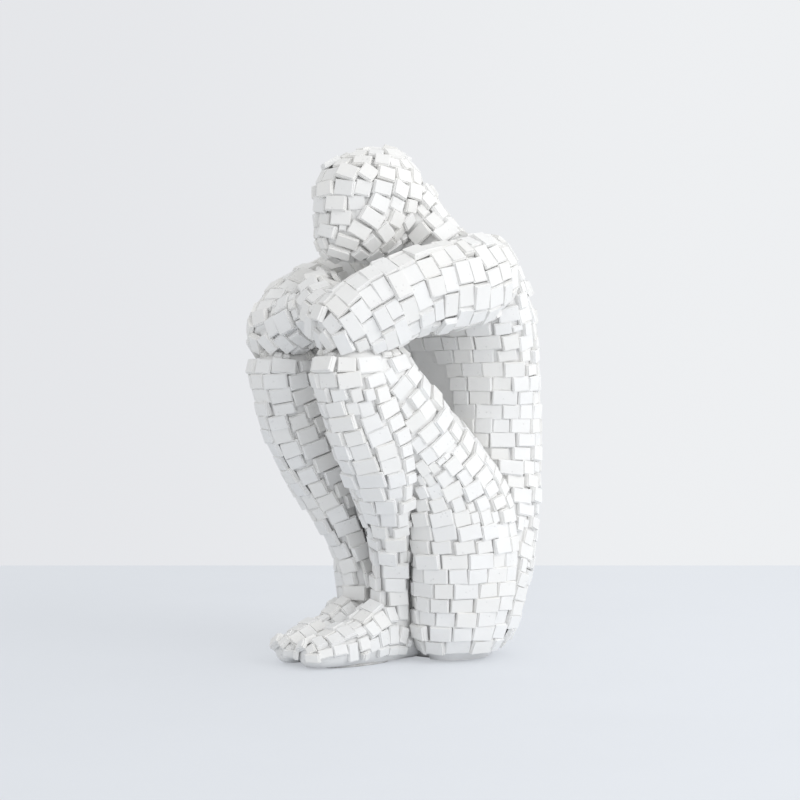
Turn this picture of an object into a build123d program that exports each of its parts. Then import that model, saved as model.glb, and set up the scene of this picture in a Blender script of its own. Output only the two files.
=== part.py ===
from build123d import *
import itertools
import math
import os
import random

import numpy as np

# A seated thinker statue: hollow and solid castings pinned with dowels, clad in small flat tiles.
# The figure faces -Y, its left side is +X, and the origin is the middle of the seat's rest face.

# Driving dimensions of the figure, in millimetres
FIGURE_HEIGHT = 250.0
FIGURE_REACH = 50.0
PAD_THICKNESS = 1.0
RIM_HEIGHT = 3.6

# Half widths and half depths of the castings, each at its fullest
TORSO_HALF_WIDTH = 47.0
TORSO_HALF_DEPTH = 33.0
NECK_HALF_WIDTH = 36.0
NECK_HALF_DEPTH = 20.0
HEAD_HALF_WIDTH = 21.5
HEAD_HALF_DEPTH = 26.0
THIGH_HALF_WIDTH = 22.0
THIGH_HALF_DEPTH = 30.0
SHIN_HALF_WIDTH = 14.5
SHIN_HALF_DEPTH = 16.0
FOOT_HALF_WIDTH = 11.0
FOOT_HALF_DEPTH = 15.0
UPPER_ARM_HALF_WIDTH = 16.5
UPPER_ARM_HALF_DEPTH = 18.0
FOREARM_HALF_WIDTH = 13.0
FOREARM_HALF_DEPTH = 13.0
KNEE_ROUNDING = 12.0
ELBOW_ROUNDING = 12.0
THIGH_ROUNDING = 7.0
SHOULDER_ROUNDING = 13.0
HAND_ROUNDING = 8.0
TOE_ROUNDING = 4.0
NAPE_ROUNDING = 4.0

# The torso's cavity and the plate that closes it
TORSO_WALL = 10.0
CAVITY_TOP_HEIGHT = 178.0
PLATE_LEDGE = 3.0
PLATE_THICKNESS = 3.0
PLATE_CLEARANCE = 0.2

# Dowels, their holes and the felt pads
DOWEL_DIAMETER = 6.0
DOWEL_LENGTH = 20.0
HOLE_CLEARANCE = 0.1
SEAT_PAD_HALF_WIDTH = 33.0
SEAT_PAD_HALF_DEPTH = 20.0
FOOT_PAD_HALF_WIDTH = 6.5
FOOT_PAD_HALF_LENGTH = 19.0

# Tiles
TILE_LENGTH = 10.0
TILE_HEIGHT = 6.8
HEAD_TILE_LENGTH = 8.8
HEAD_TILE_HEIGHT = 7.2
FOOT_TILE_LENGTH = 8.0
FOOT_TILE_HEIGHT = 6.2
TILE_THICKNESS = 1.9
TILE_GAP = 0.35
TILE_SEAT = 0.12
TILE_CLEARANCE = 0.1
TILE_THICKNESS_SPREAD_SHARE = 0.42
TILE_LENGTH_SPREAD_SHARE = 0.28
TILE_LEAST_SHARE = 0.28
FILLER_SIZE_SHARES = (0.55, 0.36)
TILE_MOST_SHARE = 1.5
TILE_FIT_SHARES = (1.0, 0.95, 0.87, 0.76)
TILE_LIFTS = (0.0, 0.8)
STEADY_SHARE = 0.5
ROW_TEST_SHARES = (0.2, 0.5, 0.8)

# Sections of each casting: side and forward as shares of the reach, height as a share of the
# figure's height, then half width and half depth as shares of the casting's own
TORSO_SHARES = (
    (0.0, -0.72, 0.0, 0.70, 0.70),
    (0.0, -0.77, 0.036, 0.88, 0.79),
    (0.0, -0.84, 0.12, 1.03, 0.94),
    (0.0, -1.04, 0.26, 1.0, 0.90),
    (0.0, -1.17, 0.416, 0.89, 0.83),
    (0.0, -1.10, 0.60, 0.98, 0.79),
    (0.0, -0.91, 0.72, 1.06, 0.82),
    (0.0, -0.77, 0.792, 0.97, 0.69),
    (0.0, -0.61, 0.832, 0.64, 0.54),
)
NECK_SHARES = (
    (0.0, -0.76, 0.768, 1.0, 1.0),
    (0.0, -0.62, 0.804, 0.94, 1.0),
    (0.0, -0.46, 0.844, 0.77, 0.95),
    (0.0, -0.33, 0.884, 0.58, 0.97),
    (0.0, -0.20, 0.914, 0.50, 0.98),
    (0.0, -0.12, 0.944, 0.45, 0.92),
)
HEAD_SHARES = (
    (0.0, 0.37, 0.796, 0.37, 0.38),
    (0.0, 0.29, 0.82, 0.72, 0.69),
    (0.0, 0.18, 0.856, 0.91, 0.92),
    (0.0, 0.13, 0.904, 1.0, 1.0),
    (0.0, 0.12, 0.944, 0.98, 0.98),
    (0.0, 0.09, 0.978, 0.79, 0.77),
    (0.0, 0.06, 0.998, 0.47, 0.42),
    (0.0, 0.06, 1.006, 0.14, 0.13),
)
THIGH_SHARES = (
    (0.56, -0.57, 0.0, 0.46, 0.56),
    (0.59, -0.57, 0.03, 0.65, 0.72),
    (0.62, -0.59, 0.12, 0.91, 0.89),
    (0.64, -0.58, 0.22, 0.97, 0.95),
    (0.62, -0.43, 0.34, 0.88, 0.97),
    (0.58, -0.13, 0.424, 0.80, 0.94),
    (0.56, 0.18, 0.50, 0.75, 0.76),
    (0.54, 0.50, 0.59, 0.64, 0.58),
)
SHIN_SHARES = (
    (0.23, 0.0, 0.056, 0.59, 0.56),
    (0.25, 0.02, 0.144, 0.59, 0.45),
    (0.35, 0.11, 0.228, 0.66, 0.51),
    (0.43, 0.22, 0.288, 0.84, 0.64),
    (0.49, 0.30, 0.336, 1.0, 0.88),
    (0.55, 0.45, 0.432, 1.08, 1.33),
    (0.55, 0.63, 0.52, 1.09, 1.27),
    (0.54, 0.71, 0.572, 1.07, 1.19),
)
FOOT_SHARES = (
    (0.24, -0.24, 0.028, 0.56, 0.42),
    (0.24, -0.10, 0.038, 0.78, 0.62),
    (0.24, 0.14, 0.054, 0.87, 1.0),
    (0.24, 0.50, 0.04, 0.98, 0.70),
    (0.23, 0.80, 0.03, 0.94, 0.53),
    (0.20, 0.98, 0.024, 0.68, 0.37),
)
UPPER_ARM_SHARES = (
    (0.84, -0.66, 0.762, 1.0, 0.99),
    (0.86, -0.40, 0.744, 1.0, 1.08),
    (0.78, 0.16, 0.719, 0.97, 1.0),
    (0.62, 0.62, 0.672, 0.93, 1.02),
    (0.55, 0.81, 0.646, 0.88, 0.90),
)
FOREARM_SHARES = (
    (0.55, 0.81, 0.644, 1.0, 1.0),
    (0.20, 0.78, 0.676, 0.92, 0.92),
    (-0.36, 0.54, 0.728, 0.77, 0.77),
)

# Places as shares of a casting's path or section, and bounds as shares of a unit direction
HIP_SEAM_SHARE = 0.39
HIP_DOWEL_SHARE = 0.45
SHOULDER_DOWEL_SHARE = 0.745
SEAT_SHARE = -0.70
FOOT_PAD_CENTRE_SHARE = 0.46
FRONT_BARE_SHARE = 0.965
FRONT_BARE_TOP_SHARE = 0.67
INNER_BARE_SHARE = 0.7
UNDER_BARE_SHARE = 0.7

# Shares of a step between sections, and the sine under which two directions count as parallel
LEAST_STEP_SHARE = 0.4
SLICE_REACH_SHARE = 0.6
PARALLEL_SHARE = 0.001

# Counts and angles
SECTIONS_PER_LIMB = 13
CAP_ANGLES = (32.0, 58.0, 78.0)
PATH_SAMPLES = 90
PLACE_SAMPLES = 360
RING_SAMPLES = 160
MERIDIANS = 12
RANDOM_SEED = 41
FOLD_LEAN = 35.0
LIMB_TURN = 3.5
LIMB_TILT = 4.5
HEAD_TURN = 26.0
HEAD_TILT = 8.0

UP = np.array([0.0, 0.0, 1.0])
SIDEWAYS = np.array([1.0, 0.0, 0.0])
FORWARD = np.array([0.0, -1.0, 0.0])


def unit(vectors):
    """The vectors, each with a length of one."""
    return vectors / np.linalg.norm(vectors, axis=-1, keepdims=True)


def smooth(knots, values, places):
    """A smooth curve through the values at the knots, read at the places."""
    slopes = np.gradient(values, knots, axis=0)
    spans = np.clip(np.searchsorted(knots, places, side="right") - 1, 0, len(knots) - 2)
    width = knots[spans + 1] - knots[spans]
    u = (places - knots[spans]) / width
    if values.ndim > 1:
        u, width = u[:, None], width[:, None]
    start, end = values[spans], values[spans + 1]
    leave, arrive = slopes[spans] * width, slopes[spans + 1] * width
    bend = u * u * (3 - 2 * u)
    return start + bend * (end - start) + u * (1 - u) ** 2 * leave - u * u * (1 - u) * arrive


class Limb:
    """A casting's form: ellipses strung along a path, with rounded ends where asked."""

    def __init__(self, shares, half_width, half_depth, side=1, heading=None, across=SIDEWAYS,
                 start_rounding=0.0, end_rounding=0.0, kept=None):
        table = np.array(shares)
        centres = np.stack([side * table[:, 0] * FIGURE_REACH,
                            (SEAT_SHARE - table[:, 1]) * FIGURE_REACH,
                            table[:, 2] * FIGURE_HEIGHT], axis=1)
        radii = table[:, 3:] * np.array([half_width, half_depth])
        if start_rounding > 0:
            centres, radii = rounded(centres[::-1], radii[::-1], start_rounding, heading)
            centres, radii = centres[::-1], radii[::-1]
        if end_rounding > 0:
            centres, radii = rounded(centres, radii, end_rounding, heading)
        self.centres, self.radii, self.heading, self.across = centres, radii, heading, across
        self.kept = kept
        steps = np.linalg.norm(np.diff(centres, axis=0), axis=1)
        self.knots = np.concatenate([[0.0], np.cumsum(steps)]) / steps.sum()
        self.samples = self.sections(np.linspace(0, 1, PATH_SAMPLES))
        reach = self.samples[-1].max()
        self.low, self.high = centres.min(axis=0) - reach, centres.max(axis=0) + reach

    def sections(self, places):
        """Centres, along, across and third directions, and both radii at the places."""
        centres = smooth(self.knots, self.centres, places)
        radii = smooth(self.knots, self.radii, places)
        step = 1 / PATH_SAMPLES
        ahead = smooth(self.knots, self.centres, np.clip(places + step, 0, 1))
        behind = smooth(self.knots, self.centres, np.clip(places - step, 0, 1))
        along = unit(ahead - behind)
        if self.heading is not None:
            along = np.tile(self.heading, (len(places), 1))
        first = unit(self.across - (along @ self.across)[:, None] * along)
        return centres, along, first, np.cross(along, first), radii

    def points(self, places, angles):
        """Surface points for arrays of places and angles of one length."""
        centres, along, first, second, radii = self.sections(places)
        return (centres + first * (radii[:, 0] * np.cos(angles))[:, None]
                + second * (radii[:, 1] * np.sin(angles))[:, None])

    def solid(self):
        """The form as one solid."""
        places = np.unique(np.concatenate([self.knots, np.linspace(0, 1, SECTIONS_PER_LIMB)]))
        near = np.diff(places, prepend=-1) > LEAST_STEP_SHARE / SECTIONS_PER_LIMB
        wanted = near | np.isin(places, self.knots)
        places = places[wanted]
        return loft([section_face(*row) for row in zip(*self.sections(places))])

    def holds(self, points, margin):
        """True for each point that lies inside the form grown by the margin."""
        inside = ((points > self.low - margin) & (points < self.high + margin)).all(axis=1)
        if inside.any():
            inside[inside] = self.near_holds(points[inside], margin)
        return inside

    def near_holds(self, points, margin):
        """The same test for points near the form."""
        centres, along, first, second, radii = self.samples
        offsets = points[:, None, :] - centres[None]
        height = np.abs(np.einsum("psk,sk->ps", offsets, along))
        spacing = np.linalg.norm(np.gradient(centres, axis=0), axis=1)
        one = np.einsum("psk,sk->ps", offsets, first) / (radii[:, 0] + margin)
        two = np.einsum("psk,sk->ps", offsets, second) / (radii[:, 1] + margin)
        inside = ((one ** 2 + two ** 2 < 1) & (height < SLICE_REACH_SHARE * spacing + margin)).any(axis=1)
        return inside & self.keeps(points, -margin)

    def keeps(self, points, margin):
        """True for each point on the kept side of the limb's cut, further in than the margin."""
        if self.kept is None:
            return np.ones(len(points), dtype=bool)
        origin, direction = self.kept
        return (points - origin) @ direction > margin


def rounded(centres, radii, rounding, heading):
    """The sections with a rounded end added past the last one."""
    along = unit(centres[-1] - centres[-2])
    if heading is not None:
        along = heading * np.sign(along @ heading)
    angles = np.radians(np.array(CAP_ANGLES))
    extra = centres[-1] + np.sin(angles)[:, None] * rounding * along
    shrunk = radii[-1] * np.cos(angles)[:, None]
    return np.vstack([centres, extra]), np.vstack([radii, shrunk])


def section_face(centre, along, first, second, radii):
    """One elliptical section as a face."""
    plane = Plane(origin=tuple(centre), x_dir=tuple(first), z_dir=tuple(along))
    return plane * Ellipse(float(radii[0]), float(radii[1])).face()


def torso_limb():
    return Limb(TORSO_SHARES, TORSO_HALF_WIDTH, TORSO_HALF_DEPTH, heading=UP,
                end_rounding=NAPE_ROUNDING)


def neck_limb():
    return Limb(NECK_SHARES, NECK_HALF_WIDTH, NECK_HALF_DEPTH, heading=UP)


def head_limb():
    return Limb(HEAD_SHARES, HEAD_HALF_WIDTH, HEAD_HALF_DEPTH, heading=UP)


def thigh_limb(side):
    return Limb(THIGH_SHARES, THIGH_HALF_WIDTH, THIGH_HALF_DEPTH, side, heading=UP,
                end_rounding=THIGH_ROUNDING)


def shin_limb(side):
    return Limb(SHIN_SHARES, SHIN_HALF_WIDTH, SHIN_HALF_DEPTH, side, heading=UP,
                end_rounding=KNEE_ROUNDING)


def foot_limb(side):
    return Limb(FOOT_SHARES, FOOT_HALF_WIDTH, FOOT_HALF_DEPTH, side, heading=FORWARD,
                start_rounding=TOE_ROUNDING, end_rounding=TOE_ROUNDING)


def upper_arm_limb(side):
    return Limb(UPPER_ARM_SHARES, UPPER_ARM_HALF_WIDTH, UPPER_ARM_HALF_DEPTH, side,
                start_rounding=SHOULDER_ROUNDING, end_rounding=ELBOW_ROUNDING)


def fold():
    """A point and a direction of the leaning cut where the left forearm lies over the right."""
    limb = whole_forearm(1)
    centres = limb.sections(limb_places())[0]
    middle = [np.interp(0.0, -centres[:, 0], centres[:, axis]) for axis in (1, 2)]
    lean = math.radians(FOLD_LEAN)
    return np.array([0.0, *middle]), np.array([math.cos(lean), 0.0, math.sin(lean)])


def whole_forearm(side, kept=None):
    return Limb(FOREARM_SHARES, FOREARM_HALF_WIDTH, FOREARM_HALF_DEPTH, side, across=UP,
                end_rounding=HAND_ROUNDING, kept=kept)


def forearm_limb(side):
    origin, direction = fold()
    return whole_forearm(side, (origin, side * direction))


def limb_places():
    """Evenly spaced places along a path."""
    return np.linspace(0, 1, PLACE_SAMPLES)


def cavity():
    """The hollow inside the torso, open at the plate's ledge."""
    limb = torso_limb()
    low = PAD_THICKNESS + PLATE_THICKNESS
    heights = np.linspace(low, CAVITY_TOP_HEIGHT, SECTIONS_PER_LIMB)
    places = np.interp(heights, limb.sections(limb_places())[0][:, 2], limb_places())
    centres, along, first, second, radii = limb.sections(places)
    centres[:, 2] = heights
    return loft([section_face(*row) for row in zip(centres, along, first, second, radii - TORSO_WALL)])


def elliptic_disc(centre, half_width, half_depth, base, top):
    """A flat elliptical piece between two heights."""
    plane = Plane(origin=(float(centre[0]), float(centre[1]), base))
    return extrude(plane * Ellipse(half_width, half_depth), amount=top - base)


def plate_outline():
    """The centre and both half sizes of the recess for the closing plate."""
    limb = torso_limb()
    low = PAD_THICKNESS + PLATE_THICKNESS
    place = np.interp([low], limb.sections(limb_places())[0][:, 2], limb_places())
    centres, along, first, second, radii = limb.sections(place)
    half_sizes = radii[0] - TORSO_WALL + PLATE_LEDGE
    return centres[0], float(half_sizes[0]), float(half_sizes[1])


def base_plate():
    centre, half_width, half_depth = plate_outline()
    return elliptic_disc(centre, half_width - PLATE_CLEARANCE, half_depth - PLATE_CLEARANCE,
                         PAD_THICKNESS, PAD_THICKNESS + PLATE_THICKNESS)


def seat_pad():
    return elliptic_disc((0, 0), SEAT_PAD_HALF_WIDTH, SEAT_PAD_HALF_DEPTH, 0, PAD_THICKNESS)


def foot_pad(side):
    across = side * FOOT_SHARES[3][0] * FIGURE_REACH
    behind = (SEAT_SHARE - FOOT_PAD_CENTRE_SHARE) * FIGURE_REACH
    return elliptic_disc((across, behind), FOOT_PAD_HALF_WIDTH, FOOT_PAD_HALF_LENGTH, 0, PAD_THICKNESS)


def dowel_place(kind, side=1):
    """Where a dowel's middle lies and which way it points."""
    if kind == "neck":
        return neck_limb().centres[-1], UP
    if kind == "hip":
        centres, along, first, second, radii = thigh_limb(side).sections(np.array([HIP_SEAM_SHARE]))
        return centres[0] - second[0] * radii[0, 1] * HIP_DOWEL_SHARE, along[0]
    torso, height = torso_limb(), SHOULDER_DOWEL_SHARE * FIGURE_HEIGHT
    place = np.interp([height], torso.sections(limb_places())[0][:, 2], limb_places())
    centres, along, first, second, radii = torso.sections(place)
    depth = (SEAT_SHARE - UPPER_ARM_SHARES[0][1]) * FIGURE_REACH
    lean = (depth - centres[0, 1]) / radii[0, 1]
    return np.array([side * radii[0, 0] * math.sqrt(1 - lean ** 2), depth, height]), SIDEWAYS * side


def dowel(kind, side=1, clearance=0.0):
    """A round dowel, or the hole for it where a clearance is given."""
    centre, along = dowel_place(kind, side)
    plane = Plane(origin=tuple(map(float, centre)), z_dir=tuple(map(float, along)))
    return plane * Cylinder(DOWEL_DIAMETER / 2 + clearance, DOWEL_LENGTH + 2 * clearance)


def above_floor(solid):
    """The solid cut flat where it stands on its pad."""
    return split(solid, bisect_by=Plane.XY.offset(PAD_THICKNESS), keep=Keep.TOP)


def seam_plane(side):
    """The flat seam between a leg casting and the hip."""
    centres, along = thigh_limb(side).sections(np.array([HIP_SEAM_SHARE]))[:2]
    return Plane(origin=tuple(centres[0]), x_dir=(1, 0, 0), z_dir=tuple(along[0]))


def torso_casting():
    """The hollow torso with the neck and hips, its plate recess and its dowel holes."""
    body = torso_limb().solid() + neck_limb().solid()
    for side in (1, -1):
        body += split(thigh_limb(side).solid(), bisect_by=seam_plane(side), keep=Keep.BOTTOM)
    centre, half_width, half_depth = plate_outline()
    low = PAD_THICKNESS + PLATE_THICKNESS
    body = above_floor(body) - cavity()
    body -= elliptic_disc(centre, half_width, half_depth, PAD_THICKNESS, low)
    body -= dowel("neck", clearance=HOLE_CLEARANCE)
    for side in (1, -1):
        body -= dowel("hip", side, HOLE_CLEARANCE)
        body -= dowel("shoulder", side, HOLE_CLEARANCE)
    return body


def leg_casting():
    """The left leg, seated on the hip's seam, the torso's side and under the elbow."""
    whole_thigh, torso = thigh_limb(1).solid(), torso_limb().solid()
    hip = split(whole_thigh, bisect_by=seam_plane(1), keep=Keep.BOTTOM)
    thigh = split(whole_thigh, bisect_by=seam_plane(1), keep=Keep.TOP) - torso
    foot = above_floor(foot_limb(1).solid()) - torso - hip
    leg = thigh + (shin_limb(1).solid() - hip) + foot
    return leg - upper_arm_limb(1).solid() - whole_forearm(1).solid() - dowel("hip", 1, HOLE_CLEARANCE)


def arm_castings():
    """Both arms, seated on the torso and cut where the left forearm lies over the right."""
    upper = upper_arm_limb(1).solid() - torso_limb().solid() - neck_limb().solid()
    upper -= dowel("shoulder", 1, HOLE_CLEARANCE)
    origin, direction = fold()
    cut = Plane(origin=tuple(origin), z_dir=tuple(direction))
    left = upper + split(forearm_limb(1).solid(), bisect_by=cut, keep=Keep.TOP)
    right = mirror(upper, Plane.YZ) + split(forearm_limb(-1).solid(), bisect_by=cut, keep=Keep.BOTTOM)
    return left, right


def castings():
    """Every casting by name."""
    leg, (left_arm, right_arm) = leg_casting(), arm_castings()
    head = head_limb().solid() - neck_limb().solid() - dowel("neck", clearance=HOLE_CLEARANCE)
    return {"torso_casting": torso_casting(), "head_casting": head,
            "left_leg_casting": leg, "right_leg_casting": mirror(leg, Plane.YZ),
            "left_arm_casting": left_arm, "right_arm_casting": right_arm}


def hardware():
    """Dowels, closing plate and felt pads by name."""
    pieces = {"base_plate": base_plate(), "seat_pad": seat_pad(), "neck_dowel": dowel("neck")}
    for side, name in ((1, "left"), (-1, "right")):
        pieces[f"{name}_hip_dowel"] = dowel("hip", side)
        pieces[f"{name}_shoulder_dowel"] = dowel("shoulder", side)
        pieces[f"{name}_foot_pad"] = foot_pad(side)
    return pieces


class Tile:
    """A flat rectangular tile: its middle, three directions and half sizes."""

    def __init__(self, middle, axes, half_sizes):
        self.middle, self.axes, self.half_sizes = middle, axes, half_sizes

    def corners(self):
        """The eight corners, the middles of the lower edges and the middle of the underside."""
        steps = np.array([(i, j, k) for k in (-1, 1) for i in (-1, 0, 1) for j in (-1, 0, 1)])
        return self.middle + (steps * self.half_sizes) @ self.axes

    def solid(self):
        plane = Plane(origin=tuple(self.middle), x_dir=tuple(self.axes[0]), z_dir=tuple(self.axes[2]))
        return plane * Box(*(2 * self.half_sizes).tolist())


def crosses(tile, others):
    """True when the tile comes within the clearance of another, by separating axes."""
    reach = np.linalg.norm(tile.half_sizes) + TILE_CLEARANCE
    near = [other for other in others
            if np.linalg.norm(other.middle - tile.middle) < reach + np.linalg.norm(other.half_sizes)]
    if not near:
        return False
    axes = np.array([other.axes for other in near])
    halves = np.array([other.half_sizes for other in near])
    offsets = np.array([other.middle for other in near]) - tile.middle
    pairs = np.cross(tile.axes[None, :, None, :], axes[:, None, :, :]).reshape(len(near), 9, 3)
    lengths = np.linalg.norm(pairs, axis=2, keepdims=True)
    pairs = np.where(lengths > PARALLEL_SHARE, pairs / np.maximum(lengths, PARALLEL_SHARE), tile.axes[2])
    tests = np.concatenate([np.repeat(tile.axes[None], len(near), axis=0), axes, pairs], axis=1)
    own = np.abs(tests @ tile.axes.T) @ tile.half_sizes
    their = (np.abs(np.einsum("nki,nai->nka", tests, axes)) * halves[:, None]).sum(axis=2)
    apart = np.abs(np.einsum("nki,ni->nk", tests, offsets)) - own - their
    return bool((apart.max(axis=1) < TILE_CLEARANCE).any())


class Mason:
    """Lays tiles on limbs, row by row, and keeps them clear of each other and of the castings."""

    def __init__(self, limbs):
        self.limbs, self.placed, self.chance = limbs, [], random.Random(RANDOM_SEED)

    def rows(self, limb, start_height, height):
        """Places that bound the rows, evenly spaced over the surface."""
        places = limb_places()
        angles = np.linspace(0, 2 * math.pi, MERIDIANS, endpoint=False)
        lines = [limb.points(places, np.full(len(places), angle)) for angle in angles]
        steps = np.mean([np.linalg.norm(np.diff(line, axis=0), axis=1) for line in lines], axis=0)
        lengths = np.concatenate([[0.0], np.cumsum(steps)])
        first = 0.0
        if start_height > 0:
            first = float(np.interp(start_height, np.mean(lines, axis=0)[:, 2], lengths))
        count = max(1, round((lengths[-1] - first) / (height + TILE_GAP)))
        return np.interp(np.linspace(first, lengths[-1], count + 1), lengths, places)

    def spans(self, limb, low, high, bare, length):
        """Angle bounds of the tiles along the open stretches of one row."""
        angles = np.linspace(0, 2 * math.pi, RING_SAMPLES + 1)
        rings = [limb.points(np.full(len(angles), low + (high - low) * share), angles)
                 for share in ROW_TEST_SHARES]
        open_ring = self.open_points(limb, rings, bare)
        middle = rings[len(rings) // 2]
        steps = np.linalg.norm(np.diff(middle, axis=0), axis=1)
        lengths = np.concatenate([[0.0], np.cumsum(steps)])
        if open_ring.all():
            start = self.chance.random() * length
            return self.divided(start, start + lengths[-1], lengths, angles, length)
        first = int(np.argmin(open_ring[:-1]))
        order = (np.arange(RING_SAMPLES) + first) % RING_SAMPLES
        spans, run = [], []
        for index in [*order, first]:
            if open_ring[index]:
                run.append(index)
                continue
            if len(run) > 1:
                start = lengths[run[0]]
                end = start + steps[run[:-1]].sum()
                if end - start > TILE_LEAST_SHARE * length:
                    spans += self.divided(start, end, lengths, angles, length)
            run = []
        return spans

    def open_points(self, limb, rings, bare):
        """True where the middle ring's points are free of the other castings and not bare."""
        across = np.roll(rings[1], -1, axis=0) - np.roll(rings[1], 1, axis=0)
        across[0] = across[-1] = rings[1][1] - rings[1][-2]
        normals = unit(np.cross(across, rings[-1] - rings[0]))
        outward = rings[1] - rings[1][:-1].mean(axis=0)
        normals *= np.sign((normals * outward).sum(axis=1))[:, None]
        free = ~bare(rings[1], normals) if bare is not None else np.ones(len(normals), dtype=bool)
        free &= ~self.covered(rings)
        for ring in rings:
            for lift in (TILE_SEAT, TILE_THICKNESS):
                raised = ring + normals * lift
                free &= limb.keeps(raised, TILE_CLEARANCE)
                for other in self.limbs:
                    if other is not limb:
                        free &= ~other.holds(raised, TILE_CLEARANCE)
        return free

    def covered(self, rings):
        """True where a tile already lies over any of the rings' points."""
        middle = rings[1].mean(axis=0)
        reach = np.linalg.norm(rings[1] - middle, axis=1).max() + TILE_LENGTH
        near = [tile for tile in self.placed if np.linalg.norm(tile.middle - middle) < reach]
        if not near:
            return np.zeros(len(rings[1]), dtype=bool)
        middles = np.array([tile.middle for tile in near])
        axes = np.array([tile.axes for tile in near])
        halves = np.array([tile.half_sizes for tile in near]) + TILE_GAP
        halves[:, 2] += TILE_THICKNESS
        hidden = np.zeros(len(rings[1]), dtype=bool)
        for ring in rings:
            local = np.einsum("ptk,tak->pta", ring[:, None, :] - middles, axes)
            hidden |= (np.abs(local) < halves).all(axis=2).any(axis=1)
        return hidden

    def divided(self, start, end, lengths, angles, length):
        """A stretch of a row divided into tiles of uneven widths."""
        count = max(1, round((end - start) / (length + TILE_GAP)))
        spread = TILE_LENGTH_SPREAD_SHARE
        widths = np.array([1 + self.chance.uniform(-spread, spread) for tile in range(count)])
        bounds = start + np.concatenate([[0.0], np.cumsum(widths)]) / widths.sum() * (end - start)
        laps, rest = np.divmod(bounds, lengths[-1])
        edges = np.interp(rest, lengths, angles) + laps * 2 * math.pi
        return list(zip(edges[:-1], edges[1:]))

    def shaped(self, limb, low, high, start, end, turn, tilt, fit, raised):
        """One tile for a patch of the surface, or nothing where the patch is too small or large."""
        middle_place, middle_angle = (low + high) / 2, (start + end) / 2
        places = np.array([middle_place, low, high, middle_place, middle_place, low, low, high, high])
        angles = np.array([middle_angle, middle_angle, middle_angle, start, end, start, end, start, end])
        centre, bottom, top, left, right, *ends = limb.points(places, angles)
        height = np.linalg.norm(top - bottom) - TILE_GAP
        width = np.linalg.norm(right - left) - TILE_GAP
        if min(height / TILE_HEIGHT, width / TILE_LENGTH) < TILE_LEAST_SHARE:
            return None
        height = min(height, TILE_MOST_SHARE * TILE_HEIGHT)
        around, along = unit(right - left), unit(top - bottom)
        normal = unit(np.cross(around, along))
        if normal @ (centre - limb.sections(np.array([middle_place]))[0][0]) < 0:
            normal, around = -normal, -around
        around = unit(np.cross(along, normal))
        spun = math.radians(self.chance.uniform(-turn, turn))
        leans = [math.radians(self.chance.uniform(-tilt, tilt)) for axis in range(2)]
        axes = tilted(np.array([around, along, normal]), spun, *leans)
        spread = TILE_THICKNESS_SPREAD_SHARE
        thickness = TILE_THICKNESS * (1 + self.chance.uniform(-spread, spread))
        halves = np.array([width * fit, height * fit, thickness]) / 2
        rise = max(0.0, float(((np.array([bottom, top, left, right, *ends]) - centre) @ normal).max()))
        lift = halves[0] * abs(math.sin(leans[1])) + halves[1] * abs(math.sin(leans[0]))
        middle = centre + normal * (rise + lift + raised + TILE_SEAT + thickness / 2)
        return Tile(middle, axes, halves)

    def lay(self, limb, bare=None, start_height=0.0, turn=LIMB_TURN, tilt=LIMB_TILT,
            length=TILE_LENGTH, height=TILE_HEIGHT):
        """All tiles of one limb, each with the place of its row."""
        others = [other for other in self.limbs if other is not limb]
        bounds, laid = self.rows(limb, start_height, height), []
        for low, high in zip(bounds[:-1], bounds[1:]):
            for start, end in self.spans(limb, low, high, bare, length):
                halfway = (start + end) / 2
                for patches in (((start, end),), ((start, halfway), (halfway, end))):
                    fitted = [self.fitted(limb, others, low, high, *patch, turn, tilt)
                              for patch in patches]
                    kept = [tile for tile in fitted if tile is not None]
                    if kept:
                        break
                laid += [((low + high) / 2, tile) for tile in kept]
        return laid

    def fitted(self, limb, others, low, high, start, end, turn, tilt):
        """The largest tile that fits the patch, or nothing."""
        for fit, raised in itertools.product(TILE_FIT_SHARES, TILE_LIFTS):
            steady = 1 if fit == TILE_FIT_SHARES[0] else STEADY_SHARE
            tile = self.shaped(limb, low, high, start, end, turn * steady, tilt * steady, fit, raised)
            if tile is None:
                return None
            corners = tile.corners()
            if corners[:, 2].min() < RIM_HEIGHT:
                continue
            if not limb.keeps(corners, TILE_CLEARANCE / 2).all():
                continue
            if any(other.holds(corners, TILE_CLEARANCE / 2).any() for other in others):
                continue
            if not crosses(tile, self.placed):
                self.placed.append(tile)
                return tile
        return None


def tilted(axes, spun, lean_one, lean_two):
    """The three directions turned about the normal, then leaned about the other two."""
    around, along, normal = axes
    around = math.cos(spun) * around + math.sin(spun) * along
    normal = unit(normal + math.sin(lean_one) * along + math.sin(lean_two) * around)
    around = unit(around - (around @ normal) * normal)
    return np.array([around, np.cross(normal, around), normal])


def facing(direction, limit, top=FIGURE_HEIGHT):
    """A test for points below a height where the surface faces a direction more than the limit."""
    return lambda points, normals: (normals @ direction > limit) & (points[:, 2] < top)


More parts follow.
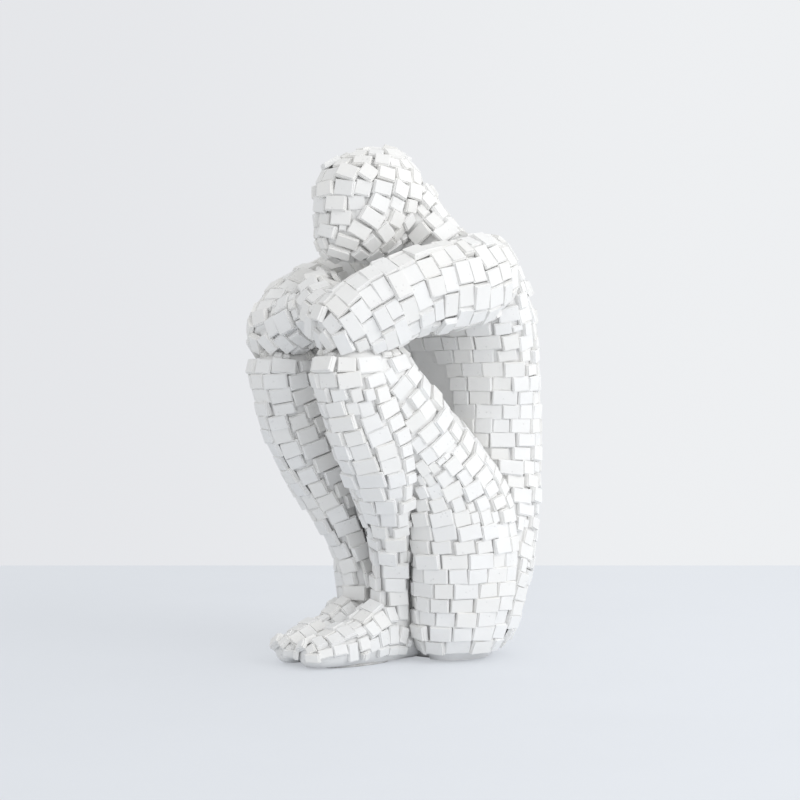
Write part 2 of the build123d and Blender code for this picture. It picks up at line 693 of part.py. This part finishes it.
def tile_groups():
    """Every group of tiles by name."""
    torso, neck, head = torso_limb(), neck_limb(), head_limb()
    sides = {1: "left", -1: "right"}
    makers = {"thigh": thigh_limb, "shin": shin_limb, "foot": foot_limb,
              "upper_arm": upper_arm_limb, "forearm": forearm_limb}
    parts = {(name, side): maker(side) for name, maker in makers.items() for side in sides}
    mason = Mason([torso, neck, head, *parts.values()])
    front = facing(FORWARD, FRONT_BARE_SHARE, FRONT_BARE_TOP_SHARE * FIGURE_HEIGHT)
    under = facing(-UP, UNDER_BARE_SHARE)
    jobs = [("torso_tiles", torso, {"bare": front, "start_height": RIM_HEIGHT}),
            ("head_tiles", head, {"turn": HEAD_TURN, "tilt": HEAD_TILT,
                                  "length": HEAD_TILE_LENGTH, "height": HEAD_TILE_HEIGHT}),
            ("neck_tiles", neck, {"tilt": HEAD_TILT})]
    for (name, side), limb in parts.items():
        inner = facing(-side * SIDEWAYS, INNER_BARE_SHARE)
        options = {"thigh": {"bare": inner},
                   "foot": {"bare": under, "length": FOOT_TILE_LENGTH, "height": FOOT_TILE_HEIGHT}
                   }.get(name, {})
        jobs.append((f"{sides[side]}_{name}_tiles", limb, options))
    groups = {name: mason.lay(limb, **options) for name, limb, options in jobs}
    for share, (name, limb, options) in itertools.product(FILLER_SIZE_SHARES, jobs):
        size = {"length": options.get("length", TILE_LENGTH) * share,
                "height": options.get("height", TILE_HEIGHT) * share}
        groups[name] += mason.lay(limb, **(options | size))
    for side in sides.values():
        thigh = groups[f"{side}_thigh_tiles"]
        groups[f"{side}_hip_tiles"] = [row for row in thigh if row[0] < HIP_SEAM_SHARE]
        groups[f"{side}_thigh_tiles"] = [row for row in thigh if row[0] >= HIP_SEAM_SHARE]
    return groups


def write(name, shape):
    """Write one named node."""
    shape.label = name
    export_step(shape, f"parts/{name}.step")


def main():
    os.makedirs("parts", exist_ok=True)
    for name, solid in (castings() | hardware()).items():
        write(name, Compound(solid.solids()))
    for name, laid in tile_groups().items():
        write(name, Compound([tile.solid().solid() for place, tile in laid]))
        print(name, len(laid))


main()
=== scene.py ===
import math

import bpy
import numpy as np
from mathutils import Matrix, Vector
from mathutils.bvhtree import BVHTree


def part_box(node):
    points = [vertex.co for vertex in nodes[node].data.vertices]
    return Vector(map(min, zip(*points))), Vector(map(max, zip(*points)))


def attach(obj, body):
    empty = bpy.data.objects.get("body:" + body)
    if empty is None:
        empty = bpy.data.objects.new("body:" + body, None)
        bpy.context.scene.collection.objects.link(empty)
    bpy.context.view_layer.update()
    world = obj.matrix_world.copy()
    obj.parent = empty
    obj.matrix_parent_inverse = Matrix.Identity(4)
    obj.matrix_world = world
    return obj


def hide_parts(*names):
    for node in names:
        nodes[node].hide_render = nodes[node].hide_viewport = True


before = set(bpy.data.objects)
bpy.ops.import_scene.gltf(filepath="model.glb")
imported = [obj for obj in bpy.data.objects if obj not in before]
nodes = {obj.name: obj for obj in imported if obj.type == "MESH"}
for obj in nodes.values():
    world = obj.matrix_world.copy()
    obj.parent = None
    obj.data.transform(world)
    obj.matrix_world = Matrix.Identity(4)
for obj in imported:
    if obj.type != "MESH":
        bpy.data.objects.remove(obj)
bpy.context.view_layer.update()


# The viewpoint
# The figure is looked at from its left front, level, from a little above its middle.
VIEW_HEADING = 52
VIEW_DISTANCE = 0.850
VIEW_HEIGHT = 0.1285
VIEW_ASIDE = 0.01025
VIEW_LENS = 76.5
VIEW_SENSOR = 36

heading = math.radians(VIEW_HEADING)
look = Vector((-math.sin(heading), math.cos(heading), 0))
right = Vector((math.cos(heading), math.sin(heading), 0))
up = Vector((0, 0, 1))
figure_axis = Vector((0, -0.035, 0))
camera_data = bpy.data.cameras.new("viewpoint")
camera_data.lens = VIEW_LENS
camera_data.sensor_width = VIEW_SENSOR
camera = bpy.data.objects.new("viewpoint", camera_data)
camera.location = figure_axis + right * VIEW_ASIDE - look * VIEW_DISTANCE + up * VIEW_HEIGHT
camera.rotation_euler = (math.pi / 2, 0, heading)
bpy.context.scene.collection.objects.link(camera)
bpy.context.scene.camera = camera


# The castings
# Head, torso, arms and legs are cast in white mineral-filled resin, rubbed down by hand and left
# matt. They are pinned with dowels and glued, and carry the chips that clad the figure.
class Shade:
    """A shader socket. Sums, differences and products of shades add Math nodes."""

    def __init__(self, finish, socket):
        self.finish, self.socket = finish, socket

    def worked(self, operation, first, second):
        return self.finish.add("ShaderNodeMath", {"operation": operation},
                               {"Value": first, "Value_001": second})["Value"]

    def __add__(self, other):
        return self.worked("ADD", self, other)

    def __sub__(self, other):
        return self.worked("SUBTRACT", self, other)

    def __rsub__(self, other):
        return self.worked("SUBTRACT", other, self)

    def __mul__(self, other):
        return self.worked("MULTIPLY", self, other)

    __radd__ = __add__
    __rmul__ = __mul__


class Finish:
    """The nodes of one material or of the world's background."""

    def __init__(self, owner):
        self.owner = owner
        owner.use_nodes = True
        self.tree = owner.node_tree
        self.tree.nodes.clear()

    def add(self, kind, settings=None, sockets=None):
        """A node of a type, with its settings set first and then its sockets; its outputs by name."""
        node = self.tree.nodes.new(kind)
        for name, value in (settings or {}).items():
            setattr(node, name, value)
        inputs = {**{socket.name: socket for socket in reversed(node.inputs)},
                  **{socket.identifier: socket for socket in node.inputs}}
        for name, value in (sockets or {}).items():
            if isinstance(value, Shade):
                self.tree.links.new(value.socket, inputs[name])
            else:
                inputs[name].default_value = value
        shades = {socket.name: Shade(self, socket) for socket in reversed(node.outputs)}
        shades.update({socket.identifier: Shade(self, socket) for socket in node.outputs})
        return shades

    def noise(self, place, scale, detail=2.0, roughness=0.5):
        """Soft noise from 0 to 1 over the given place."""
        return self.add("ShaderNodeTexNoise", {}, {"Vector": place, "Scale": scale, "Detail": detail,
                                                   "Roughness": roughness})["Fac"]

    def ramp(self, value, low, high):
        """0 below one value and 1 above another."""
        return self.add("ShaderNodeMapRange", {"interpolation_type": "SMOOTHSTEP"},
                        {"Value": value, "From Min": low, "From Max": high})["Result"]

    def blend(self, share, first, second):
        """The first colour, with a share of the second."""
        return self.add("ShaderNodeMix", {"data_type": "RGBA"},
                        {"Factor_Float": share, "A_Color": first, "B_Color": second})["Result_Color"]

    def place(self, centre=(0, 0, 0), turn=(0, 0, 0), scale=(1, 1, 1)):
        """Object coordinates, measured from a centre."""
        where = self.add("ShaderNodeTexCoord")["Object"]
        moved = tuple(-along * factor for along, factor in zip(centre, scale))
        return self.add("ShaderNodeMapping", {}, {"Vector": where, "Location": moved,
                                                  "Rotation": turn, "Scale": scale})["Vector"]

    def surface(self, sockets, height=None, depth=0.0, strength=1.0):
        """The surface with its relief, joined to the output."""
        if height is not None:
            sockets["Normal"] = self.add("ShaderNodeBump", {}, {"Height": height, "Distance": depth,
                                                                "Strength": strength})["Normal"]
        shaded = self.add("ShaderNodeBsdfPrincipled", {}, sockets)["BSDF"]
        self.add("ShaderNodeOutputMaterial", {}, {"Surface": shaded})
        return self.owner


def cast_resin(name, pale, deep, tone=None):
    """White cast resin: clouds of a slightly deeper white, pinholes and a fine rubbed grain."""
    finish = Finish(bpy.data.materials.new(name))
    place = finish.place((0, 0, 0.125))
    clouds = finish.noise(place, 70, 3)
    grain = finish.noise(place, 1500, 4, 0.6)
    cells = finish.add("ShaderNodeTexVoronoi", {}, {"Vector": place, "Scale": 420.0})["Distance"]
    pinholes = 1 - finish.ramp(cells, 0.10, 0.24)
    specks = finish.noise(place, 260, 2)
    colour = finish.blend(finish.ramp(clouds, 0.35, 0.68), deep, pale)
    if tone is not None:
        tones = finish.add("ShaderNodeAttribute", {"attribute_name": tone})["Fac"]
        warm = tuple(part * share for part, share in zip(pale, (0.98, 0.972, 0.955))) + (1,)
        colour = finish.blend(finish.ramp(tones, 0.2, 1.0) * 0.8, colour, warm)
        grain = grain + tones * 0.4
    # The pores, pinholes among the specks, are coloured darker than the resin around them, and dented in
    # the relief.
    pore_colour = tuple(part * 0.86 for part in deep[:3]) + (1,)
    pores = pinholes * finish.ramp(specks, 0.52, 0.60)
    colour = finish.blend(pores * 0.6, colour, pore_colour)
    return finish.surface(
        {"Base Color": colour, "Roughness": 0.50 + grain * 0.16 - clouds * 0.06,
         "Specular IOR Level": 0.42},
        grain * 0.35 + clouds * 0.5 - pores, 0.00022, 0.55)


casting_finish = cast_resin("matt_cast_resin", (0.89, 0.888, 0.88, 1), (0.855, 0.852, 0.844, 1))
for name in ("torso_casting", "head_casting", "left_arm_casting", "right_arm_casting",
             "left_leg_casting", "right_leg_casting"):
    nodes[name].data.materials.clear()
    nodes[name].data.materials.append(casting_finish)


# The chips
# Some sixteen hundred flat rectangular chips, each cut by hand from cast resin sheet and bedded
# singly in white glue, row by row, so that no two are quite alike, square or level.
CHIP_CORNER = 0.00022
CHIP_ARRIS = 0.00013
CHIP_BED = 0.0008
CHIP_SPREAD = (0.00014, 0.00014, 0)
CHIP_PULL = (0.00030, 0.00024, 0.00022)
CHIP_PULL_SHARE = 0.16
CHIP_PULL_POWER = 1.6
CHIP_NICK = (0.00026, 0.00026, 0.00014)
CHIP_NICK_POWER = 6
GLUE_REACH = 0.0004
GLUE_TOP_SHARE = 0.1


def chip_blocks(name):
    """Middles, directions and half sizes of the rectangular chips of a node.

    Twelve triangles make a chip. Its middle is their centroids' mean, weighted by area. Its
    directions are the first triangle's normal, the normal most square to it and their cross
    product, and a half size is the furthest reach of its corners along a direction."""
    mesh = nodes[name].data
    places = np.empty(len(mesh.vertices) * 3, dtype=np.float32)
    corners = np.empty(len(mesh.loops), dtype=np.int32)
    mesh.vertices.foreach_get("co", places)
    mesh.loops.foreach_get("vertex_index", corners)
    triangles = places.reshape(-1, 3)[corners].reshape(-1, 12, 3, 3).astype(float)
    normals = np.cross(triangles[:, :, 1] - triangles[:, :, 0], triangles[:, :, 2] - triangles[:, :, 0])
    areas = np.linalg.norm(normals, axis=2, keepdims=True)
    normals /= areas
    middles = (triangles.mean(axis=2) * areas).sum(axis=1) / areas.sum(axis=1)
    first = normals[:, 0]
    squarest = np.abs(np.einsum("nki,ni->nk", normals, first)).argmin(axis=1)
    second = normals[np.arange(len(normals)), squarest]
    axes = np.stack([first, second, np.cross(first, second)], axis=1)
    offsets = triangles.reshape(-1, 36, 3) - middles[:, None]
    halves = np.abs(np.einsum("nki,nai->nka", offsets, axes)).max(axis=1)
    order = np.argsort(-halves, axis=1)
    halves = np.take_along_axis(halves, order, axis=1)
    axes = np.take_along_axis(axes, order[:, :, None], axis=1)
    return middles, axes, halves


def casting_tree(names):
    """The castings' triangles, ready to be asked for the nearest point."""
    places, faces, start = [], [], 0
    for name in names:
        mesh = nodes[name].data
        corners = np.empty(len(mesh.loops), dtype=np.int32)
        points = np.empty(len(mesh.vertices) * 3, dtype=np.float32)
        mesh.loops.foreach_get("vertex_index", corners)
        mesh.vertices.foreach_get("co", points)
        places.append(points.reshape(-1, 3))
        faces.append(corners.reshape(-1, 3) + start)
        start += len(mesh.vertices)
    return BVHTree.FromPolygons(np.concatenate(places).tolist(), np.concatenate(faces).tolist())


def facing_out(middles, axes, tree):
    """The directions, turned so that the thin one points away from the casting underneath."""
    nearest = np.array([tree.find_nearest(middle)[0] for middle in middles.tolist()])
    outward = np.sign(((middles - nearest) * axes[:, 2]).sum(axis=1))[:, None]
    thin = axes[:, 2] * outward
    return np.stack([axes[:, 0], np.cross(thin, axes[:, 0]), thin], axis=1)


def chips(name, seed, tree):
    """Hand-cut chips in place of a node's plain blocks.

    A chip is a rectangle with cut corners, eight points, carried through five levels: underside,
    top of the glue squeezed out round it, foot of its bare side, upper arris and face. Each point is
    its corner's signs times the half sizes, with the level's share of the thickness, less the
    corner's random pull, the point's random nick and its fixed inset. The pulls and nicks are random
    shares, raised to a power so that most are slight. The underside goes down by the bed."""
    middles, axes, halves = chip_blocks(name)
    halves = halves + CHIP_SPREAD
    axes = facing_out(middles, axes, tree)
    chance = np.random.default_rng(seed)
    count = len(middles)
    outline = np.array([(1, 1, 0, 1), (1, 1, 1, 0), (-1, 1, 1, 0), (-1, 1, 0, 1),
                        (-1, -1, 0, 1), (-1, -1, 1, 0), (1, -1, 1, 0), (1, -1, 0, 1)])
    levels = np.array([(-1, -GLUE_REACH, 0), (GLUE_TOP_SHARE, -GLUE_REACH, 0), (GLUE_TOP_SHARE, 0, 0),
                       (1, 0, CHIP_ARRIS), (1, CHIP_ARRIS, 0)])
    rows, round_it = len(levels), len(outline)
    signs = np.empty((rows, round_it, 3))
    insets = np.empty((rows, round_it, 3))
    signs[:, :, :2] = outline[None, :, :2]
    signs[:, :, 2] = levels[:, None, 0]
    insets[:, :, :2] = outline[None, :, 2:] * CHIP_CORNER + levels[:, 1, None, None]
    insets[:, :, 2] = levels[:, 2, None]
    signs, insets = signs.reshape(-1, 3), insets.reshape(-1, 3)
    corner = ((signs > 0) @ np.array([1, 2, 4])).astype(int)
    most = np.minimum(CHIP_PULL, halves[:, None] * CHIP_PULL_SHARE)
    pulls = chance.random((count, 8, 3)) ** CHIP_PULL_POWER * most
    nicks = chance.random((count, len(signs), 3)) ** CHIP_NICK_POWER * np.array(CHIP_NICK)
    spots = signs * (halves[:, None] - pulls[:, corner] - insets - nicks)
    spots[:, :, 2] -= (signs[:, 2] < 0) * CHIP_BED
    points = middles[:, None] + np.einsum("nka,nai->nki", spots, axes)

    here = np.arange(round_it)
    after = (here + 1) % round_it
    low = np.arange(rows - 1)[:, None] * round_it
    high = low + round_it
    sides = np.stack([low + here, low + after, high + after, high + here], axis=2)
    loops = np.concatenate([sides.reshape(-1), here[::-1], high[-1] + here])
    sizes = np.array([4] * (rows - 1) * round_it + [round_it] * 2)
    starts = np.concatenate([[0], np.cumsum(sizes)[:-1]])
    whole = np.arange(count)[:, None]
    mesh = bpy.data.meshes.new(name.replace("tiles", "chips"))
    mesh.vertices.add(count * len(signs))
    mesh.vertices.foreach_set("co", points.reshape(-1))
    mesh.loops.add(count * len(loops))
    mesh.loops.foreach_set("vertex_index", (loops + whole * len(signs)).reshape(-1).astype(np.int32))
    mesh.polygons.add(count * len(sizes))
    mesh.polygons.foreach_set("loop_start", (starts + whole * len(loops)).reshape(-1).astype(np.int32))
    mesh.polygons.foreach_set("use_smooth", np.zeros(count * len(sizes), dtype=bool))
    mesh.update(calc_edges=True)
    mesh.validate()
    tones = mesh.attributes.new("chip_tone", "FLOAT", "POINT")
    tones.data.foreach_set("value", np.repeat(chance.random(count), len(signs)))
    mesh.materials.append(chip_finish)
    piece = bpy.data.objects.new(mesh.name, mesh)
    bpy.context.scene.collection.objects.link(piece)
    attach(piece, "root")
    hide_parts(name)
    return piece


chip_finish = cast_resin("cut_resin_chip", (0.905, 0.904, 0.898, 1), (0.875, 0.873, 0.865, 1), "chip_tone")
trunk = casting_tree(("torso_casting", "head_casting", "left_leg_casting", "right_leg_casting"))
limbs = casting_tree(("left_arm_casting", "right_arm_casting", "left_leg_casting", "right_leg_casting",
                      "torso_casting"))
chips("head_tiles", 11, trunk)
chips("neck_tiles", 12, trunk)
chips("torso_tiles", 13, trunk)
for index, side in enumerate(("left", "right")):
    for step, part in enumerate(("hip", "thigh", "shin", "foot", "upper_arm", "forearm")):
        chips(f"{side}_{part}_tiles", 20 + 10 * index + step, limbs)


# The dowels
# Five steel pins, turned from drawn rod, hold head, arms and legs to the torso inside the joints.
def drawn_steel(name):
    """Drawn steel: fine scratches round the rod and a faint grey bloom."""
    finish = Finish(bpy.data.materials.new(name))
    place = finish.place((0, 0, 0.1), (0.3, 0.2, 0), (60, 900, 900))
    streaks = finish.noise(place, 2.0, 4)
    bloom = finish.noise(finish.place((0, 0, 0.1)), 180, 2)
    colour = finish.blend(bloom, (0.50, 0.50, 0.51, 1), (0.62, 0.62, 0.63, 1))
    return finish.surface({"Base Color": colour, "Metallic": 1.0, "Roughness": 0.28 + streaks * 0.22},
                          streaks, 0.00005, 0.4)


steel = drawn_steel("drawn_steel")
for name in ("neck_dowel", "left_hip_dowel", "right_hip_dowel", "left_shoulder_dowel",
             "right_shoulder_dowel"):
    nodes[name].data.materials.clear()
    nodes[name].data.materials.append(steel)


# The closing plate
# A flat oval of pale grey moulded plastic, glued into the recess under the seat over the hollow.
def moulded_plastic(name):
    """Pale moulded plastic with a fine spark-eroded texture and light handling marks."""
    finish = Finish(bpy.data.materials.new(name))
    place = finish.place()
    texture = finish.noise(place, 1100, 3, 0.6)
    marks = finish.ramp(finish.noise(place, 120, 4), 0.55, 0.75)
    colour = finish.blend(marks, (0.60, 0.60, 0.60, 1), (0.66, 0.66, 0.655, 1))
    return finish.surface({"Base Color": colour, "Roughness": 0.55 + texture * 0.2 - marks * 0.1},
                          texture, 0.0001, 0.5)


plate_finish = moulded_plastic("moulded_plastic")
nodes["base_plate"].data.materials.clear()
nodes["base_plate"].data.materials.append(plate_finish)


# The felt pads
# Three die-cut pieces of pale grey wool felt, one under the seat and one under each sole, stuck on
# with their own glue so that the figure doesn't scratch a table.
FELT_TURNS = 120
FELT_EDGE_POINTS = 7
FELT_EDGE_SHARE = 0.9
FELT_FLAT = (0.25, 0.55, 0.8, 0.93)
FELT_WAVER = 0.006


def wool_felt(name):
    """Pressed wool: two layers of tangled fibres in slightly different greys."""
    finish = Finish(bpy.data.materials.new(name))
    fibres = finish.noise(finish.place((0, 0, 0), (0, 0, 0.6), (1500, 260, 900)), 1.0, 4, 0.7)
    crossing = finish.noise(finish.place((0, 0, 0), (0, 0, -0.8), (1500, 240, 900)), 1.0, 4, 0.7)
    tufts = finish.noise(finish.place(), 500, 3)
    colour = finish.blend(finish.ramp(fibres * 0.5 + crossing * 0.5, 0.35, 0.65),
                          (0.56, 0.555, 0.545, 1), (0.72, 0.715, 0.70, 1))
    return finish.surface({"Base Color": colour, "Roughness": 0.86 + tufts * 0.12,
                           "Sheen Weight": 0.35, "Sheen Roughness": 0.5},
                          fibres * 0.5 + crossing * 0.5 + tufts * 0.6, 0.0003, 0.8)


def felt_piece(name, seed):
    """A die-cut oval of felt in place of a node.

    The surface goes from the middle of the underside out, round a soft edge and back to the middle
    of the top: at the angle t the radius is the oval's times the profile's share, less a wavering
    of three sines, and the height is the profile's, with the edge a half circle in section."""
    low, high = (np.array(corner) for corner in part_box(name))
    middle, half = (low + high) / 2, (high - low) / 2
    turns = np.linspace(0, 2 * math.pi, FELT_TURNS, endpoint=False)
    edge = np.linspace(-math.pi / 2, math.pi / 2, FELT_EDGE_POINTS)
    flat = np.array(FELT_FLAT)
    inner = 1 - half[2] * FELT_EDGE_SHARE / half[:2].min()
    shares = np.concatenate([flat * inner, inner + (1 - inner) * np.cos(edge), flat[::-1] * inner])
    heights = np.concatenate([[-1] * len(flat), np.sin(edge), [1] * len(flat)]) * half[2]
    waver = np.sin(5 * turns + seed) + np.sin(11 * turns + 2 * seed) + np.sin(23 * turns)
    radius = shares[:, None] * (1 - FELT_WAVER + FELT_WAVER * waver[None] / 3)
    grid = np.stack([middle[0] + half[0] * radius * np.cos(turns),
                     middle[1] + half[1] * radius * np.sin(turns),
                     middle[2] + np.repeat(heights[:, None], len(turns), axis=1)], axis=2)
    points = np.concatenate([grid.reshape(-1, 3), [middle - (0, 0, half[2])], [middle + (0, 0, half[2])]])
    count, rows = len(turns), len(shares)
    here = np.arange(count)
    after = (here + 1) % count
    bands = [np.stack([row * count + here, row * count + after, (row + 1) * count + after,
                       (row + 1) * count + here], axis=1) for row in range(rows - 1)]
    under = np.stack([np.full(count, rows * count), after, here], axis=1)
    over = np.stack([np.full(count, rows * count + 1), (rows - 1) * count + here,
                     (rows - 1) * count + after], axis=1)
    mesh = bpy.data.meshes.new(name.replace("pad", "felt"))
    mesh.from_pydata(points.tolist(), [], np.concatenate(bands).tolist() + under.tolist() + over.tolist())
    mesh.polygons.foreach_set("use_smooth", np.ones(len(mesh.polygons), dtype=bool))
    mesh.update()
    mesh.materials.append(felt)
    piece = bpy.data.objects.new(mesh.name, mesh)
    bpy.context.scene.collection.objects.link(piece)
    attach(piece, "root")
    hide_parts(name)
    return piece


felt = wool_felt("wool_felt")
for index, name in enumerate(("seat_pad", "left_foot_pad", "right_foot_pad")):
    felt_piece(name, index + 1)


# The table and the wall
# A pale painted table top ends half a metre behind the figure, in front of a plain white wall.
TABLE_HALF = 0.47
TABLE_POINTS = 9


def table_top():
    """A flat square, turned to the viewpoint, as a grid of two parameters."""
    steps = np.linspace(-TABLE_HALF, TABLE_HALF, TABLE_POINTS)
    across, along = np.meshgrid(steps, steps)
    centre = np.array(figure_axis)
    points = (centre + across[..., None] * np.array(right) + along[..., None] * np.array(look))
    cells = np.arange(TABLE_POINTS ** 2).reshape(TABLE_POINTS, TABLE_POINTS)
    faces = np.stack([cells[:-1, :-1], cells[:-1, 1:], cells[1:, 1:], cells[1:, :-1]], axis=2)
    mesh = bpy.data.meshes.new("table_top")
    mesh.from_pydata(points.reshape(-1, 3).tolist(), [], faces.reshape(-1, 4).tolist())
    finish = Finish(bpy.data.materials.new("painted_table"))
    place = finish.place()
    clouds = finish.noise(place, 9, 4)
    # Painted light: the table's colour is painted lighter towards the right, where the lamp stands, mixed
    # with a real faint mottle; camera rays also see a share of this colour as glow.
    across = finish.add("ShaderNodeVectorMath", {"operation": "DOT_PRODUCT"},
                        {"Vector": place, "Vector_001": tuple(right)})["Value"]
    colour = finish.blend(finish.ramp(across + clouds * 0.2, -0.15, 0.35), (0.745, 0.772, 0.812, 1),
                          (0.80, 0.828, 0.87, 1))
    painted = finish.add("ShaderNodeBsdfPrincipled", {}, {"Base Color": colour, "Roughness": 0.7,
                                                          "Specular IOR Level": 0.2})["BSDF"]
    glow = finish.add("ShaderNodeEmission", {}, {"Color": colour, "Strength": 1.0})["Emission"]
    seen = finish.add("ShaderNodeLightPath")["Is Camera Ray"]
    mixed = finish.add("ShaderNodeMixShader", {}, {"Fac": seen * 0.55, "Shader": painted,
                                                   "Shader_001": glow})["Shader"]
    finish.add("ShaderNodeOutputMaterial", {}, {"Surface": mixed})
    mesh.materials.append(finish.owner)
    top = bpy.data.objects.new("table_top", mesh)
    bpy.context.scene.collection.objects.link(top)


table_top()


def wall_and_air():
    """The world: a pale wall where it is seen, with painted light making it brighter to the right, and
    light elsewhere that is stronger from the right.
    """
    world = bpy.data.worlds.new("room")
    bpy.context.scene.world = world
    finish = Finish(world)
    ray = finish.add("ShaderNodeTexCoord")["Generated"]
    side = finish.add("ShaderNodeVectorMath", {"operation": "DOT_PRODUCT"},
                      {"Vector": ray, "Vector_001": tuple(right)})["Value"]
    # Painted light: the wall's colour goes from a greyer white on the left to a brighter white on the
    # right, as the lamp there would light it.
    wall = finish.blend(finish.ramp(side, -0.25, 0.2), (0.785, 0.795, 0.820, 1), (0.855, 0.868, 0.885, 1))
    path = finish.add("ShaderNodeLightPath")
    seen = finish.add("ShaderNodeMath", {"operation": "MAXIMUM"},
                      {"Value": path["Is Camera Ray"], "Value_001": path["Is Glossy Ray"]})["Value"]
    seen = finish.add("ShaderNodeMath", {"operation": "MAXIMUM"},
                      {"Value": seen, "Value_001": path["Is Transmission Ray"]})["Value"]
    light = finish.add("ShaderNodeBackground", {}, {"Color": (0.98, 0.99, 1.0, 1),
                                                    "Strength": finish.ramp(side, -0.8, 0.6) * 0.29 + 0.72})
    back = finish.add("ShaderNodeBackground", {}, {"Color": wall, "Strength": 1.0})
    mixed = finish.add("ShaderNodeMixShader", {}, {"Fac": seen, "Shader": light["Background"],
                                                   "Shader_001": back["Background"]})["Shader"]
    finish.add("ShaderNodeOutputWorld", {}, {"Surface": mixed})


wall_and_air()


# The light
# One large soft lamp stands to the right of the viewpoint and above it; the room fills the rest.
LAMP_SIZE = 0.9
LAMP_POWER = 4.8
LAMP_DISTANCE = 1.35
LAMP_AIM_HEIGHT = 0.12

lamp_data = bpy.data.lights.new("window", "AREA")
lamp_data.shape = "SQUARE"
lamp_data.size = LAMP_SIZE
lamp_data.energy = LAMP_POWER
lamp = bpy.data.objects.new("window", lamp_data)
towards = (right * 0.69 - look * 0.50 + up * 0.38).normalized()
lamp.location = figure_axis + up * LAMP_AIM_HEIGHT + towards * LAMP_DISTANCE
lamp.rotation_mode = "QUATERNION"
lamp.rotation_quaternion = towards.to_track_quat("Z", "Y")
bpy.context.scene.collection.objects.link(lamp)

bpy.context.scene.view_settings.view_transform = "Standard"
